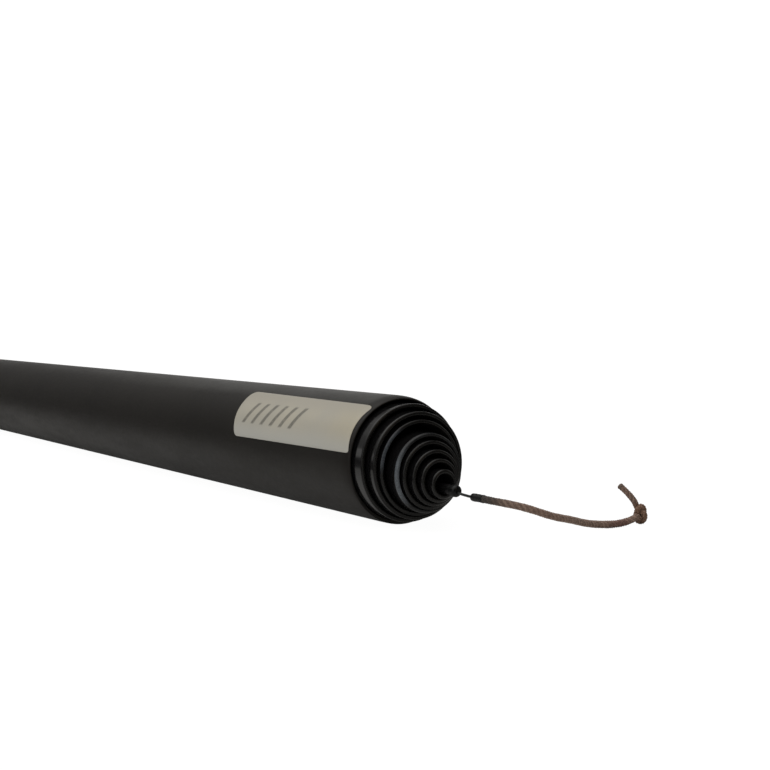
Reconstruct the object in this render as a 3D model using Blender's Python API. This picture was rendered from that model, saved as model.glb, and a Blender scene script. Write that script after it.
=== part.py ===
"""Telescopic whip rod, collapsed and lying on its side.

+X runs from the butt cap to the tip, +Z is up, and the rod rests on the bottom line of its butt
section, which is parallel to X. Every hollow section lies on the bottom line of the bore around it,
so each one slides out along +X. The origin is the centre of the butt end face.
Dimensions below are in millimetres.
"""

import math

import bmesh
import bpy
import numpy as np
from mathutils import Matrix, Vector

for leftover in list(bpy.data.objects):
    bpy.data.objects.remove(leftover, do_unlink=True)

MM = 0.001

# Butt section
RIM_X = 432.0  # fore end of the butt section
REAR_X = 9.0  # rear end of the butt section
RIM_R = 12.0  # outer radius at the fore end
BUTT_TAPER = 0.003  # radius gained per millimetre towards the butt
WALL = 0.73  # wall of every hollow section
RIM_ROUND = 0.55  # rounding of the fore end's outer edge
BASE_X = 21.5  # where the base ends of the inner sections rest

# Inner sections 2 to 9: outer radius at the fore end, how far the fore end stands out of the butt's
# rim, and how much of the section stays in the one around it when it is pulled out
FORE_R = (10.96, 9.91, 8.80, 7.31, 6.25, 5.09, 3.94, 2.66)
STAND_OUT = (3.1, 5.5, 6.1, 8.8, 9.6, 10.9, 12.0, 13.4)
OVERLAP = (34.0, 32.0, 30.0, 28.0, 26.0, 24.0, 22.0, 20.0)
RUN_GAP = 0.05  # clearance under each section, and round it when pulled out
EDGE = 0.12  # broken outer edge of each fore end
SIDES = 32

# Tip section and what it carries
TIP_MOUTH_R = 0.88
TIP_BASE_R = 1.52
TIP_SLEEVE_R = 1.86
TIP_SLEEVE_BORE = 1.60
TIP_SLEEVE_LENGTH = 20.0
TIP_BASE_GAP = 0.085  # under the sleeve's rear edge
TIP_RISE = 0.25  # how much higher than the other sections the tip lies in its mouth
TIP_END_X = RIM_X + 15.4
TIP_SPIGOT_R, TIP_SPIGOT_LENGTH = 0.50, 0.9
BEAD_R, BEAD_END_X = 0.92, RIM_X + 17.3
WIRE_R = 0.24
WIRE_START = (RIM_X + 16.7, 0.0, -1.296 - 4.17)
WIRE_END = (RIM_X + 22.1, 0.0, -1.296 - 4.42)
COLLAR_START_X, COLLAR_END_X = RIM_X + 21.2, RIM_X + 24.0
COLLAR_R, COLLAR_NOSE_R, COLLAR_BORE = 0.56, 0.36, 0.31

# Cord at the tip
CORD_D = 1.28
CORD_GAP = 0.30
CORD_START = (COLLAR_END_X + CORD_GAP, 0.0, -1.296 - 4.42)
CORD_LENGTH = 40.9
CORD_HEADING = (0.0, 44.8, 81.3, 105.4, 115.3, 112.7, 101.3, 87.6, 76.0)  # degrees from +X to +Y
CORD_CLIMB = (-1.7, -9.7, -19.0, -13.0, -12.2, -12.6, -8.5, -0.3, 24.6)  # degrees above level
CORD_POINTS = 17
KNOT_CENTRE = (RIM_X + 24.75, 36.70, -1.296 - 10.02)
KNOT_HALF = (1.15, 1.20, 1.72)
TAIL_START = (RIM_X + 24.42, 35.86, -1.296 - 8.02)
TAIL_BEND = (RIM_X + 23.95, 34.66, -1.296 - 6.40)
TAIL_END = (RIM_X + 23.11, 33.11, -1.296 - 4.71)
TAIL_D = 1.15

# Screw cap, its threaded ring and what sits in it, all on a line parallel to X through the origin
CAP_R = 12.7  # a little under the butt, which it must not lift off a table
CAP_FACE_X, CAP_SHOULDER_X = 0.6, 8.7
CAP_CUP_R, CAP_CUP_FLOOR_X, CAP_END_X = 10.3, 6.0, 20.2
CAP_NECK_R = 11.05
FACE_PAD_R, FACE_PAD_RECESS_R, FACE_PAD_T, FACE_PAD_RECESS_X = 9.3, 9.6, 1.8, 2.1
FLUTE_DEPTH = 0.35
THREAD_START_X, THREAD_END_X = 11.2, 19.7
THREAD_PITCH = 2.5
THREAD_HALF_DEPTH = 0.22
MALE_MEAN_R, FEMALE_MEAN_R = 11.61, 11.86
RING_START_X, RING_END_X, RING_R = 10.9, 20.6, 12.35
SEAL_X, SEAL_R, SEAL_THICK_R = 9.9, 11.70, 0.58
PLUG_R, PLUG_BACK_X, PLUG_FRONT_X = 10.0, 6.3, 21.2
CAP_SIDES = 36

# Pale label on the upper side of the butt, its edges measured from the rim
LABEL_LOW, LABEL_HIGH = 7.0, 62.0  # degrees above -Y
LABEL_RIGHT, LABEL_LEFT, LABEL_BOW = 0.75, 43.6, 4.0
LABEL_GAP, LABEL_THICK = 0.04, 0.08


def material(name, colour, roughness, metallic=0.0):
    made = bpy.data.materials.new(name)
    made.use_nodes = True
    shader = made.node_tree.nodes["Principled BSDF"]
    shader.inputs["Base Color"].default_value = (*colour, 1.0)
    shader.inputs["Roughness"].default_value = roughness
    shader.inputs["Metallic"].default_value = metallic
    return made


def finish(name, bm, colour, roughness, origin=(0.0, 0.0, 0.0), metallic=0.0, sharp=35.0):
    """Makes the object, with its origin at the given point, outward normals and smooth round faces."""
    bmesh.ops.recalc_face_normals(bm, faces=bm.faces)
    bmesh.ops.translate(bm, verts=bm.verts, vec=-Vector(origin) * MM)
    mesh = bpy.data.meshes.new(name)
    bm.to_mesh(mesh)
    bm.free()
    mesh.shade_smooth()
    mesh.set_sharp_from_angle(angle=math.radians(sharp))
    mesh.materials.append(material(name, colour, roughness, metallic))
    obj = bpy.data.objects.new(name, mesh)
    obj.location = Vector(origin) * MM
    bpy.context.scene.collection.objects.link(obj)
    return obj


def turned(profile, sides, loop, centre=lambda x: 0.0, reshape=None):
    """Spins a profile of (x, radius) points round X. A loop is a ring or a tube, and an open profile
    starts and ends on the axis. centre gives the height of the axis at x, and reshape may change a
    point's radius, given x, radius and the index of its side."""
    bm = bmesh.new()
    verts = [bm.verts.new((x * MM, 0.0, r * MM)) for x, r in profile]
    edges = [bm.edges.new(pair) for pair in zip(verts, verts[1:])]
    if loop:
        edges.append(bm.edges.new((verts[-1], verts[0])))
    bmesh.ops.spin(
        bm, geom=verts + edges, cent=(0, 0, 0), axis=(1, 0, 0), angle=2 * math.pi, steps=sides, use_merge=True
    )
    bmesh.ops.remove_doubles(bm, verts=bm.verts, dist=1e-7)
    if reshape:
        for v in bm.verts:
            r = math.hypot(v.co.y, v.co.z)
            if r < 1e-6:
                continue
            angle = math.atan2(-v.co.y, v.co.z)
            side = round(angle / (2 * math.pi / sides)) % sides
            new = reshape(v.co.x / MM, r / MM, side) * MM
            v.co.y *= new / r
            v.co.z *= new / r
    # Half a side's turn puts a flat facet underneath.
    bmesh.ops.rotate(bm, verts=bm.verts, cent=(0, 0, 0), matrix=Matrix.Rotation(math.pi / sides, 3, "X"))
    for v in bm.verts:
        v.co.z += centre(v.co.x / MM) * MM
    return bm


# ---------------------------------------------------------------- the telescopic sections


def butt_radius(x):
    return RIM_R + BUTT_TAPER * (RIM_X - x)


def butt_centre(x):
    return -BUTT_TAPER * x


FLOOR_Z = butt_centre(0.0) - butt_radius(0.0)


class Section:
    """A tapered tube whose bottom line is level, at z = bottom."""

    def __init__(self, fore_x, fore_r, taper, bottom):
        self.fore_x, self.fore_r, self.taper, self.bottom = fore_x, fore_r, taper, bottom

    def radius(self, x):
        return self.fore_r + self.taper * (self.fore_x - x)

    def centre(self, x):
        return self.bottom + self.radius(x)


def nested_sections():
    """The butt and sections 2 to 9. Each taper lets a section pass out of the one around it until its
    last millimetres, the overlap, fill the bore."""
    made = [Section(RIM_X, RIM_R, BUTT_TAPER, FLOOR_Z)]
    for fore_r, stand_out, overlap in zip(FORE_R, STAND_OUT, OVERLAP):
        outer = made[-1]
        fore_x = RIM_X + stand_out
        length = fore_x - BASE_X
        mouth = outer.fore_r - WALL - RUN_GAP
        taper = min(
            (mouth - fore_r) / (length - overlap),
            (mouth - fore_r + outer.taper * overlap) / length,
        )
        made.append(Section(fore_x, fore_r, taper, outer.bottom + WALL + RUN_GAP))
    return made


sections = nested_sections()
BLANK = (0.020, 0.018, 0.016)

blank = turned(
    [
        (REAR_X, butt_radius(REAR_X) - WALL),
        (REAR_X, butt_radius(REAR_X)),
        (RIM_X - RIM_ROUND, butt_radius(RIM_X - RIM_ROUND)),
        (RIM_X - 0.29 * RIM_ROUND, RIM_R - 0.29 * RIM_ROUND),
        (RIM_X, RIM_R - RIM_ROUND),
        (RIM_X, RIM_R - WALL),
    ],
    SIDES,
    True,
    butt_centre,
)
finish("butt_section", blank, BLANK, 0.42)

for number, section in enumerate(sections[1:], 2):
    profile = [
        (BASE_X, section.radius(BASE_X) - WALL),
        (BASE_X, section.radius(BASE_X)),
        (section.fore_x - EDGE, section.radius(section.fore_x - EDGE)),
        (section.fore_x, section.fore_r - EDGE),
        (section.fore_x, section.fore_r - WALL),
    ]
    tube = turned(profile, SIDES, True, section.centre)
    finish(
        f"section_{number}",
        tube,
        (0.012, 0.012, 0.013),
        0.18,
        origin=(BASE_X, 0.0, section.centre(BASE_X)),
    )


# ---------------------------------------------------------------- the tip section

last = sections[-1]
TIP_MOUTH_X = last.fore_x
TIP_TAPER = (TIP_BASE_R - TIP_MOUTH_R) / (TIP_MOUTH_X - BASE_X)


def tip_radius(x):
    return TIP_MOUTH_R + TIP_TAPER * (TIP_MOUTH_X - x)


def tip_centre(x):
    """The tip lies on its base sleeve at the back, and a little clear of the bore at the mouth."""
    back = last.bottom + WALL + TIP_BASE_GAP + TIP_SLEEVE_R
    front = last.bottom + WALL + RUN_GAP + TIP_RISE + TIP_MOUTH_R
    return back + (front - back) * (x - BASE_X) / (TIP_MOUTH_X - BASE_X)


TIP_ORIGIN = (BASE_X, 0.0, tip_centre(BASE_X))

tip = turned(
    [
        (BASE_X, 0.0),
        (BASE_X, TIP_BASE_R),
        (TIP_END_X, tip_radius(TIP_END_X)),
        (TIP_END_X, TIP_SPIGOT_R),
        (TIP_END_X + TIP_SPIGOT_LENGTH, TIP_SPIGOT_R),
        (TIP_END_X + TIP_SPIGOT_LENGTH, 0.0),
    ],
    24,
    False,
    tip_centre,
)
finish("tip_section", tip, (0.012, 0.012, 0.013), 0.2, origin=TIP_ORIGIN)

sleeve_end = BASE_X + TIP_SLEEVE_LENGTH
sleeve = turned(
    [
        (BASE_X, TIP_SLEEVE_BORE),
        (BASE_X, TIP_SLEEVE_R),
        (sleeve_end - 2.0, TIP_SLEEVE_R),
        (sleeve_end, TIP_SLEEVE_BORE + 0.08),
        (sleeve_end, TIP_SLEEVE_BORE),
    ],
    24,
    True,
    tip_centre,
)
finish("tip_base_sleeve", sleeve, (0.05, 0.04, 0.03), 0.6, origin=TIP_ORIGIN)


def bead_profile():
    """A bead with a socket for the tip's spigot and a rounded nose."""
    x0, x1, r = TIP_END_X + 0.05, BEAD_END_X, BEAD_R
    round_r = 0.62
    nose = [
        (x1 - round_r + round_r * math.sin(a), r - round_r + round_r * math.cos(a))
        for a in (math.radians(d) for d in (0, 30, 60, 90))
    ]
    return [
        (x0 + TIP_SPIGOT_LENGTH, 0.0),
        (x0 + TIP_SPIGOT_LENGTH, TIP_SPIGOT_R + 0.05),
        (x0, TIP_SPIGOT_R + 0.05),
        (x0, r - 0.06),
        (x0 + 0.12, r),
        *nose,
        (x1, 0.0),
    ]


bead_centre = tip_centre((TIP_END_X + BEAD_END_X) / 2)
bead = finish(
    "tip_bead",
    turned(bead_profile(), 24, False, lambda x: bead_centre),
    (0.01, 0.012, 0.012),
    0.3,
    origin=(TIP_END_X, 0.0, bead_centre),
)

# The wire enters the bead below its centre, in a drilled hole.
drill = bmesh.new()
bmesh.ops.create_cone(
    drill,
    cap_ends=True,
    cap_tris=False,
    segments=12,
    radius1=(WIRE_R + 0.07) * MM,
    radius2=(WIRE_R + 0.07) * MM,
    depth=2.0 * MM,
    matrix=Matrix.Translation(Vector((WIRE_START[0] - 0.06 + 1.0, 0.0, WIRE_START[2])) * MM)
    @ Matrix.Rotation(math.pi / 2, 4, "Y"),
)
cutter = finish("wire_hole_cutter", drill, (0.5, 0.5, 0.5), 0.5)
cutter.hide_render = True
cutter.display_type = "WIRE"
cut = bead.modifiers.new("wire_hole", "BOOLEAN")
cut.operation = "DIFFERENCE"
cut.solver = "EXACT"
cut.object = cutter


def rod_between(start, end, radius, segments):
    """A round bar from one point to another."""
    a, b = Vector(start), Vector(end)
    bm = bmesh.new()
    bmesh.ops.create_cone(
        bm,
        cap_ends=True,
        cap_tris=False,
        segments=segments,
        radius1=radius * MM,
        radius2=radius * MM,
        depth=(b - a).length * MM,
        matrix=Matrix.Translation((a + b) / 2 * MM) @ (b - a).to_track_quat("Z", "Y").to_matrix().to_4x4(),
    )
    return bm


finish("tip_wire", rod_between(WIRE_START, WIRE_END, WIRE_R, 10), (0.08, 0.09, 0.09), 0.35, origin=WIRE_START, metallic=0.6)

collar_z = CORD_START[2]
collar = turned(
    [
        (WIRE_END[0] + 0.12, 0.0),
        (WIRE_END[0] + 0.12, COLLAR_BORE),
        (COLLAR_START_X, COLLAR_BORE),
        (COLLAR_START_X, COLLAR_NOSE_R),
        (COLLAR_START_X + 0.55, COLLAR_R),
        (COLLAR_END_X - 0.1, COLLAR_R + 0.02),
        (COLLAR_END_X, COLLAR_R - 0.08),
        (COLLAR_END_X, 0.0),
    ],
    16,
    False,
    lambda x: collar_z,
)
finish("cord_collar", collar, (0.012, 0.013, 0.014), 0.5, origin=(COLLAR_START_X, 0.0, collar_z))


# ---------------------------------------------------------------- the cord


def natural_spline(values, at):
    """A natural cubic spline through evenly spaced values, read at positions from 0 to len(values) - 1."""
    y = np.array(values, float)
    n = len(y)
    system = np.eye(n)
    right = np.zeros(n)
    for i in range(1, n - 1):
        system[i, i - 1 : i + 2] = (1, 4, 1)
        right[i] = 6 * (y[i - 1] - 2 * y[i] + y[i + 1])
    m = np.linalg.solve(system, right)
    i = np.clip(np.floor(at).astype(int), 0, n - 2)
    t = at - i
    return (
        (1 - t) * y[i]
        + t * y[i + 1]
        + ((1 - t) ** 3 - (1 - t)) / 6 * m[i]
        + (t**3 - t) / 6 * m[i + 1]
    )


def cord_route(count):
    """Points evenly spaced along the cord's centreline, from its heading and its climb."""
    steps = 480
    at = np.linspace(0, len(CORD_HEADING) - 1, steps + 1)
    heading = np.radians(natural_spline(CORD_HEADING, at))
    climb = np.radians(natural_spline(CORD_CLIMB, at))
    way = np.stack([np.cos(heading) * np.cos(climb), np.sin(heading) * np.cos(climb), np.sin(climb)], 1)
    moved = np.cumsum((way[1:] + way[:-1]) / 2 * CORD_LENGTH / steps, axis=0)
    line = np.concatenate([[CORD_START], np.array(CORD_START) + moved])
    return line[np.round(np.linspace(0, steps, count)).astype(int)]


def tail_route(count):
    t = np.linspace(0, 1, count)[:, None]
    a, b, c = (np.array(p) for p in (TAIL_START, TAIL_BEND, TAIL_END))
    control = 2 * b - (a + c) / 2
    return (1 - t) ** 2 * a + 2 * (1 - t) * t * control + t**2 * c


def cord(name, points, diameter, colour):
    curve = bpy.data.curves.new(name, "CURVE")
    curve.dimensions = "3D"
    curve.bevel_depth = diameter / 2 * MM
    curve.bevel_resolution = 2
    curve.use_fill_caps = True
    spline = curve.splines.new("POLY")
    spline.points.add(len(points) - 1)
    for point, place in zip(spline.points, points):
        point.co = (*(float(v) * MM for v in place), 1.0)
    curve.materials.append(material(name, colour, 0.85))
    obj = bpy.data.objects.new(name, curve)
    bpy.context.scene.collection.objects.link(obj)
    return obj


CORD_COLOUR = (0.17, 0.115, 0.085)
cord("tip_cord", cord_route(CORD_POINTS), CORD_D, CORD_COLOUR)
cord("cord_tail", tail_route(5), TAIL_D, CORD_COLOUR)


def knot():
    """A tight overhand knot's outer shape: a ball with the lobes of its turns."""
    bm = bmesh.new()
    bmesh.ops.create_uvsphere(bm, u_segments=16, v_segments=10, radius=MM)
    for v in bm.verts:
        d = v.co.normalized()
        turn = math.atan2(d.y, d.x)
        lobes = 1.0 + 0.07 * math.sin(3 * d.z * math.pi / 2 + turn)
        v.co = Vector((d.x * KNOT_HALF[0], d.y * KNOT_HALF[1], d.z * KNOT_HALF[2] / 1.04)) * lobes * MM
    bmesh.ops.translate(bm, verts=bm.verts, vec=Vector(KNOT_CENTRE) * MM)
    return bm


finish("cord_knot", knot(), CORD_COLOUR, 0.85, origin=KNOT_CENTRE, sharp=80.0)


# ---------------------------------------------------------------- the butt's screw cap


def fade(x, start, end, length):
    """1 along a thread, and 0 at its ends."""
    return max(0.0, min(1.0, (x - start) / length, (end - x) / length))


def thread(x, side, sides):
    """A round thread's height from -1 to 1. It is right-handed: turning the cap by the right hand round
    +X moves it along +X."""
    return math.sin(2 * math.pi * (x / THREAD_PITCH - side / sides))


def thread_rows():
    rows = round((THREAD_END_X - THREAD_START_X) / THREAD_PITCH * 5)
    return [THREAD_START_X + (THREAD_END_X - THREAD_START_X) * i / rows for i in range(rows + 1)]


def threaded(mean, low, high):
    def reshape(x, r, side):
        if abs(r - mean) > 1e-3 or not low - 1e-3 < x < high + 1e-3:
            return r
        height = THREAD_HALF_DEPTH * fade(x, low, high, THREAD_PITCH / 2)
        return r + height * thread(x, side, CAP_SIDES)

    return reshape


male_root = MALE_MEAN_R - THREAD_HALF_DEPTH
male = threaded(MALE_MEAN_R, THREAD_START_X, THREAD_END_X)


def cap_shape(x, r, side):
    if abs(r - CAP_R) < 1e-3 and side % 2:
        return r - FLUTE_DEPTH
    return male(x, r, side)


cap = turned(
    [
        (FACE_PAD_RECESS_X, 0.0),
        (FACE_PAD_RECESS_X, FACE_PAD_RECESS_R),
        (CAP_FACE_X, FACE_PAD_RECESS_R),
        (CAP_FACE_X, CAP_R - 1.2),
        (CAP_FACE_X + 0.8, CAP_R - 0.36),
        (CAP_FACE_X + 1.4, CAP_R),
        (CAP_SHOULDER_X - 0.9, CAP_R),
        (CAP_SHOULDER_X - 0.5, CAP_R - 0.36),
        (CAP_SHOULDER_X, CAP_R - 0.36),
        (CAP_SHOULDER_X, CAP_NECK_R),
        (THREAD_START_X - 0.35, CAP_NECK_R),
        *((x, MALE_MEAN_R) for x in thread_rows()),
        (CAP_END_X, male_root - 0.3),
        (CAP_END_X, CAP_CUP_R),
        (CAP_CUP_FLOOR_X, CAP_CUP_R),
        (CAP_CUP_FLOOR_X, 0.0),
    ],
    CAP_SIDES,
    False,
    reshape=cap_shape,
)
finish("butt_cap", cap, (0.018, 0.018, 0.019), 0.45)

ring = turned(
    [
        (RING_START_X, RING_R),
        (RING_END_X, RING_R),
        (RING_END_X, FEMALE_MEAN_R),
        *((x, FEMALE_MEAN_R) for x in reversed(thread_rows())),
        (RING_START_X, FEMALE_MEAN_R),
    ],
    CAP_SIDES,
    True,
    reshape=threaded(FEMALE_MEAN_R, THREAD_START_X, THREAD_END_X),
)
finish("threaded_ring", ring, (0.35, 0.35, 0.36), 0.35, metallic=1.0)

seal = turned(
    [
        (SEAL_X + SEAL_THICK_R * math.cos(a), SEAL_R + SEAL_THICK_R * math.sin(a))
        for a in (2 * math.pi * k / 8 for k in range(8))
    ],
    CAP_SIDES,
    True,
)
finish("cap_seal_ring", seal, (0.012, 0.012, 0.012), 0.7, origin=(SEAL_X, 0.0, 0.0))

face_pad = turned(
    [(0.0, 0.0), (0.0, FACE_PAD_R - 0.3), (0.3, FACE_PAD_R), (FACE_PAD_T, FACE_PAD_R), (FACE_PAD_T, 0.0)],
    CAP_SIDES,
    False,
)
finish("cap_face_pad", face_pad, (0.02, 0.02, 0.02), 0.8)

plug = turned(
    [(PLUG_BACK_X, 0.0), (PLUG_BACK_X, PLUG_R), (PLUG_FRONT_X - 0.5, PLUG_R), (PLUG_FRONT_X, PLUG_R - 0.5), (PLUG_FRONT_X, 0.0)],
    CAP_SIDES,
    False,
)
finish("shock_plug", plug, (0.05, 0.05, 0.055), 0.95, origin=(PLUG_BACK_X, 0.0, 0.0))


# ---------------------------------------------------------------- the label


def label():
    """A thin skin on the butt's facets, with a bowed left edge."""
    step = 360.0 / SIDES
    corners = [step * (k + 0.5) for k in range(-1, SIDES // 4)]
    angles = [LABEL_LOW, *(a for a in corners if LABEL_LOW + 1 < a < LABEL_HIGH - 1), LABEL_HIGH]
    bm = bmesh.new()
    skins = []
    for lift in (LABEL_GAP, LABEL_GAP + LABEL_THICK):
        rows = []
        for along in (0.0, 0.5, 1.0):
            row = []
            for angle in angles:
                span = (angle - LABEL_LOW) / (LABEL_HIGH - LABEL_LOW)
                left = LABEL_LEFT + LABEL_BOW * 4 * span * (1 - span)
                x = RIM_X - LABEL_RIGHT - along * (left - LABEL_RIGHT)
                nearest = round(angle / step) * step
                flat = math.cos(math.radians(step / 2)) / math.cos(math.radians(angle - nearest))
                r = butt_radius(x) * flat + lift
                a = math.radians(angle)
                row.append(bm.verts.new(Vector((x, -r * math.cos(a), butt_centre(x) + r * math.sin(a))) * MM))
            rows.append(row)
        skins.append(rows)
    under, over = skins
    for rows, flip in ((under, True), (over, False)):
        for a, b in zip(rows, rows[1:]):
            for i in range(len(angles) - 1):
                quad = (a[i], a[i + 1], b[i + 1], b[i])
                bm.faces.new(quad[::-1] if flip else quad)
    edge_under = under[0] + [r[-1] for r in under[1:]] + under[-1][-2::-1] + [r[0] for r in under[-2:0:-1]]
    edge_over = over[0] + [r[-1] for r in over[1:]] + over[-1][-2::-1] + [r[0] for r in over[-2:0:-1]]
    for i in range(len(edge_under)):
        j = (i + 1) % len(edge_under)
        bm.faces.new((edge_under[i], edge_under[j], edge_over[j], edge_over[i]))
    return bm


finish("label", label(), (0.35, 0.33, 0.30), 0.4, origin=(RIM_X, 0.0, butt_centre(RIM_X)))
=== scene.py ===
import math

import bmesh
import bpy
import numpy as np
from mathutils import Matrix, Vector


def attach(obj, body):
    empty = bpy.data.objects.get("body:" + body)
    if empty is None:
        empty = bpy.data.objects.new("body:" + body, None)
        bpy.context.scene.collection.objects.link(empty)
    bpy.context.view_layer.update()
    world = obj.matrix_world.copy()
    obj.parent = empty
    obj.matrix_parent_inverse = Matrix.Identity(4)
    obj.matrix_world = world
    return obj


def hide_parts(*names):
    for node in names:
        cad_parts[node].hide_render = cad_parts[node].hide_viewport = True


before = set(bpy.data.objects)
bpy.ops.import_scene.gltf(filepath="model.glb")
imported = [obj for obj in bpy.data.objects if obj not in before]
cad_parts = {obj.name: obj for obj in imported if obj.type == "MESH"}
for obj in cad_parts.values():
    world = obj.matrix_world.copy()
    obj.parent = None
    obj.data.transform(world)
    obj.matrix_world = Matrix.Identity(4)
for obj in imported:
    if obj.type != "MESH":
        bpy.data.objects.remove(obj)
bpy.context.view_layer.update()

MM = 0.001

# ------------------------------------------------------------------ sizes, as in the construction
RIM_X, REAR_X, RIM_R, BUTT_TAPER, WALL, RIM_ROUND, BASE_X = 432.0, 9.0, 12.0, 0.003, 0.73, 0.55, 21.5
FORE_R = (10.96, 9.91, 8.80, 7.31, 6.25, 5.09, 3.94, 2.66)
STAND_OUT = (3.1, 5.5, 6.1, 8.8, 9.6, 10.9, 12.0, 13.4)
OVERLAP = (34.0, 32.0, 30.0, 28.0, 26.0, 24.0, 22.0, 20.0)
RUN_GAP = 0.05
TIP_MOUTH_R, TIP_BASE_R, TIP_SLEEVE_R, TIP_BASE_GAP, TIP_RISE = 0.88, 1.52, 1.86, 0.085, 0.25
TIP_END_X = RIM_X + 15.4
BEAD_R, BEAD_END_X = 1.08, RIM_X + 17.3
WIRE_R = 0.24
WIRE_START = (RIM_X + 16.7, 0.0, -1.296 - 4.17)
WIRE_END = (RIM_X + 22.1, 0.0, -1.296 - 4.42)
COLLAR_START_X, COLLAR_END_X = RIM_X + 21.2, RIM_X + 24.0
COLLAR_R, COLLAR_NOSE_R, COLLAR_BORE = 0.56, 0.36, 0.31
CORD_D, CORD_GAP, CORD_LENGTH = 1.28, 0.30, 40.9
CORD_START = (COLLAR_END_X + CORD_GAP, 0.0, -1.296 - 4.42)
COLLAR_SKIN_END_X = COLLAR_END_X + 0.42  # the shrunk sleeve laps over the braid's first turns
CORD_HEADING = (0.0, 44.8, 81.3, 105.4, 115.3, 112.7, 101.3, 87.6, 76.0)
CORD_CLIMB = (-1.7, -9.7, -19.0, -13.0, -12.2, -12.6, -8.5, -0.3, 24.6)
KNOT_CENTRE = (RIM_X + 24.75, 36.70, -1.296 - 10.02)
TAIL_START = (RIM_X + 24.42, 35.86, -1.296 - 8.02)
TAIL_BEND = (RIM_X + 23.95, 34.66, -1.296 - 6.40)
TAIL_END = (RIM_X + 23.11, 33.11, -1.296 - 4.71)
TAIL_D = 1.15
CAP_R, CAP_FACE_X, CAP_SHOULDER_X = 12.7, 0.6, 8.7
CAP_CUP_R, CAP_CUP_FLOOR_X, CAP_END_X, CAP_NECK_R = 10.3, 6.0, 20.2, 11.05
FACE_PAD_R, FACE_PAD_RECESS_R, FACE_PAD_T, FACE_PAD_RECESS_X = 9.3, 9.6, 1.8, 2.1
FLUTES, FLUTE_DEPTH = 18, 0.42
THREAD_START_X, THREAD_END_X, THREAD_PITCH, THREAD_HALF_DEPTH, MALE_MEAN_R = 11.2, 19.7, 2.5, 0.22, 11.61
SEAL_X, SEAL_R, SEAL_THICK_R = 9.9, 11.70, 0.58
LABEL_LOW, LABEL_HIGH, LABEL_RIGHT, LABEL_LEFT, LABEL_BOW = 8.1, 62.0, 0.42, 45.5, 2.7
LABEL_LOW_RIM, LABEL_HIGH_RIM = 9.4, 59.3  # it is a little narrower at the rim
RIM_LONG = 3.4  # the butt's rim rounds over further along it than across its wall


def butt_radius(x):
    return RIM_R + BUTT_TAPER * (RIM_X - x)


def butt_centre(x):
    return -BUTT_TAPER * x


def butt_skin(x):
    into = max(0.0, (x - RIM_X + RIM_LONG) / RIM_LONG)
    return butt_radius(x) - RIM_ROUND * (1 - math.sqrt(max(0.0, 1 - into * into)))


FLOOR_Z = butt_centre(0.0) - butt_radius(0.0)


class Section:
    def __init__(self, fore_x, fore_r, taper, bottom):
        self.fore_x, self.fore_r, self.taper, self.bottom = fore_x, fore_r, taper, bottom

    def radius(self, x):
        return self.fore_r + self.taper * (self.fore_x - x)

    def centre(self, x):
        return self.bottom + self.radius(x)


def nested_sections():
    made = [Section(RIM_X, RIM_R, BUTT_TAPER, FLOOR_Z)]
    for fore_r, stand_out, overlap in zip(FORE_R, STAND_OUT, OVERLAP):
        outer = made[-1]
        fore_x = RIM_X + stand_out
        length = fore_x - BASE_X
        mouth = outer.fore_r - WALL - RUN_GAP
        taper = min(
            (mouth - fore_r) / (length - overlap),
            (mouth - fore_r + outer.taper * overlap) / length,
        )
        made.append(Section(fore_x, fore_r, taper, outer.bottom + WALL + RUN_GAP))
    return made


sections = nested_sections()
last = sections[-1]
TIP_MOUTH_X = last.fore_x
TIP_TAPER = (TIP_BASE_R - TIP_MOUTH_R) / (TIP_MOUTH_X - BASE_X)


def tip_radius(x):
    return TIP_MOUTH_R + TIP_TAPER * (TIP_MOUTH_X - x)


def tip_centre(x):
    back = last.bottom + WALL + TIP_BASE_GAP + TIP_SLEEVE_R
    front = last.bottom + WALL + RUN_GAP + TIP_RISE + TIP_MOUTH_R
    return back + (front - back) * (x - BASE_X) / (TIP_MOUTH_X - BASE_X)


# ------------------------------------------------------------------ camera
PICTURE = 770
FOCAL = 1191.93  # pixels
YAW, PITCH = math.radians(146.5275), math.radians(-2.5783)
forward = Vector((math.cos(PITCH) * math.cos(YAW), math.cos(PITCH) * math.sin(YAW), math.sin(PITCH)))
right = Vector((math.sin(YAW), -math.cos(YAW), 0.0))
upward = right.cross(forward)
camera_data = bpy.data.cameras.new("camera")
camera_data.sensor_width = 36.0
camera_data.lens = FOCAL / PICTURE * 36.0
camera_data.clip_start, camera_data.clip_end = 0.02, 60.0
camera = bpy.data.objects.new("camera", camera_data)
bpy.context.scene.collection.objects.link(camera)
turned_camera = Matrix((right, upward, -forward)).transposed().to_4x4()
camera.matrix_world = Matrix.Translation((0.614528, -0.124557, 0.022645)) @ turned_camera
bpy.context.scene.camera = camera


# ------------------------------------------------------------------ node helpers


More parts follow.
